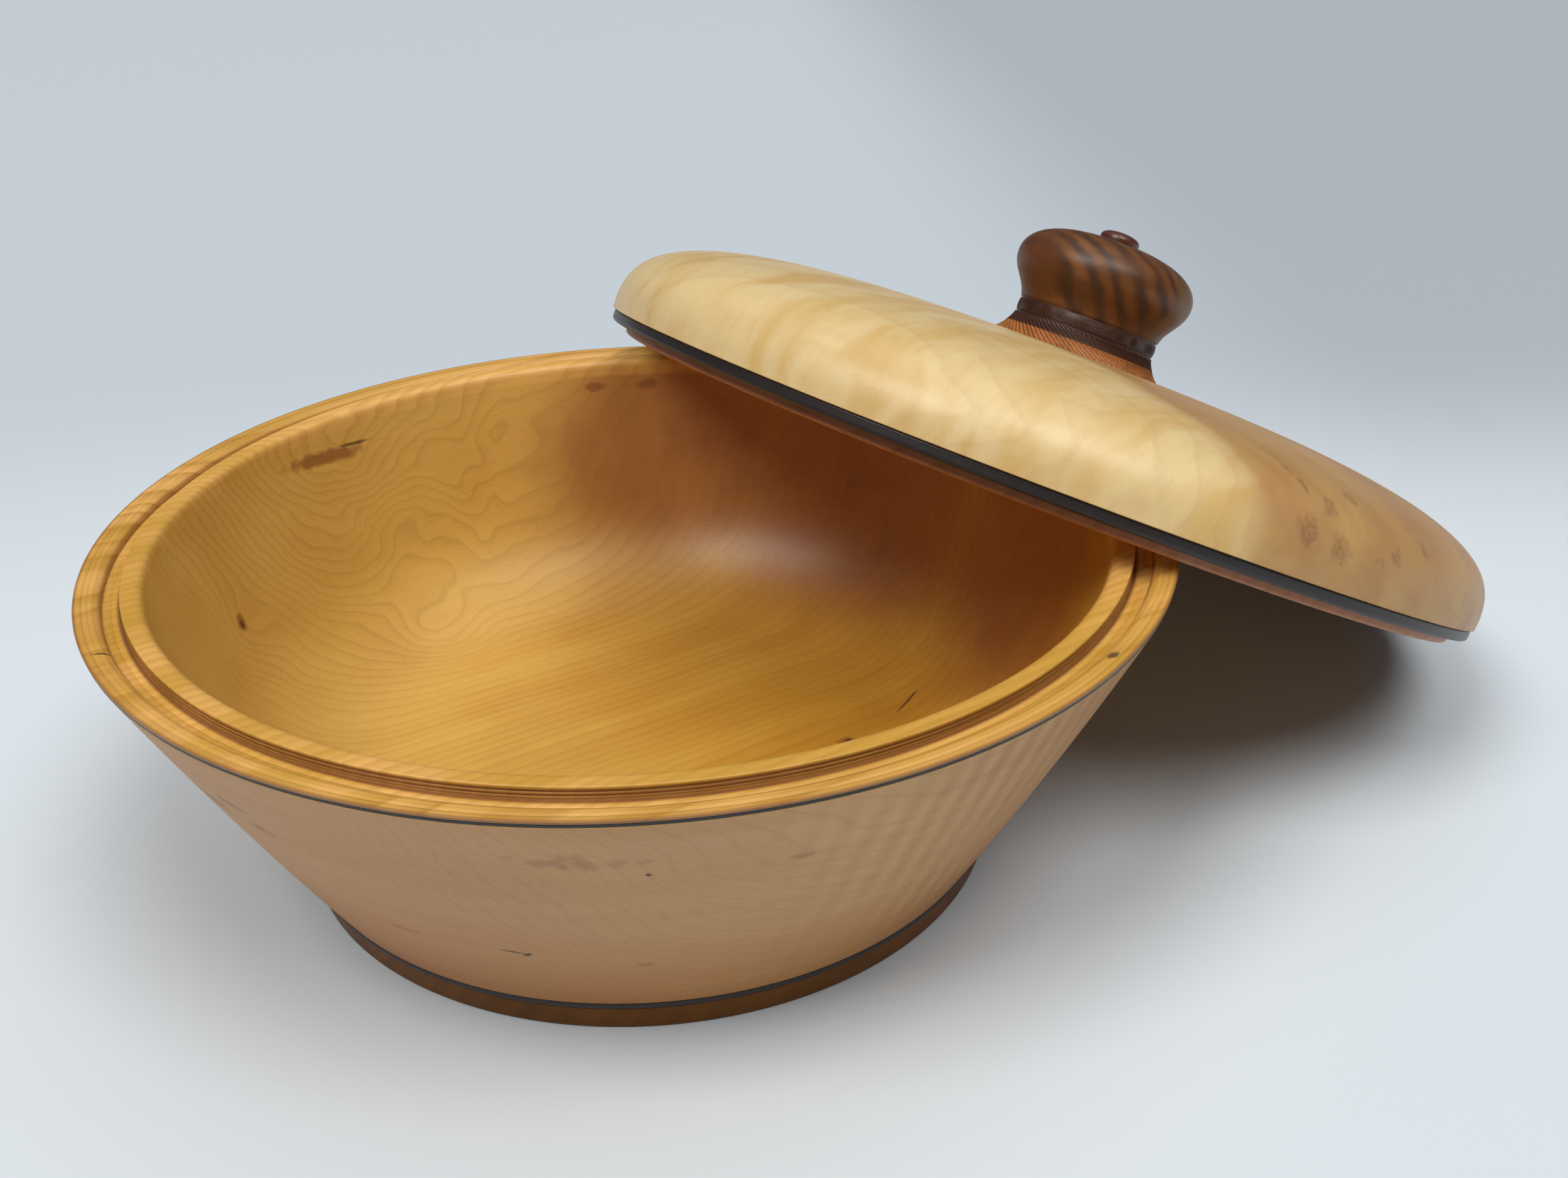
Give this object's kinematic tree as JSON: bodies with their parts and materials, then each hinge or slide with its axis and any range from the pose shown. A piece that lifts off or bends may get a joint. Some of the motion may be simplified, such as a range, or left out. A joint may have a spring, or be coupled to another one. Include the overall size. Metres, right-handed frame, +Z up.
{
  "type": "lidded go stone bowl",
  "caption": "Wide shallow turned wooden bowl with a channelled rim, black inlay lines and a domed lid with a turned finial, leaning open on the rim.",
  "frame": {"origin": "centre of the bowl's foot, on the surface it stands on", "axes": "+Z up along the bowl's turning axis; the lid leans down towards +X and +Y, with its far edge on the same surface"},
  "size_m": [0.3697, 0.3326, 0.1343],
  "materials": {
    "foot_wood": "satin, oiled",
    "black_line": "satin",
    "bowl_maple": "satin, oiled",
    "rim_wood": "satin, oiled",
    "lid_maple": "satin, lacquered",
    "black_band": "gloss",
    "spigot_wood": "satin, oiled",
    "base_wood": "textured, satin",
    "dark_wood": "textured, satin",
    "knob_wood": "polished",
    "button_wood": "polished",
    "dowel_wood": "plain"
  },
  "bodies": {
    "bowl": {"foot_disc": "foot_wood", "foot_band": "black_line", "bowl_body": "bowl_maple", "rim_line": "black_line", "rim_ring": "rim_wood"},
    "lid": {"lid_dome": "lid_maple", "lid_band": "black_band", "lid_spigot": "spigot_wood", "finial_base": "base_wood", "finial_collar": "dark_wood", "finial_ring": "dark_wood", "finial_knob": "knob_wood", "finial_button": "button_wood", "finial_spindle": "dowel_wood"}
  },
  "joints": [
    {"name": "lid_lift", "type": "slide", "parent": "bowl", "child": "lid", "axis": [0, 0, 1], "range_m": [0, 0.15]}
  ]
}
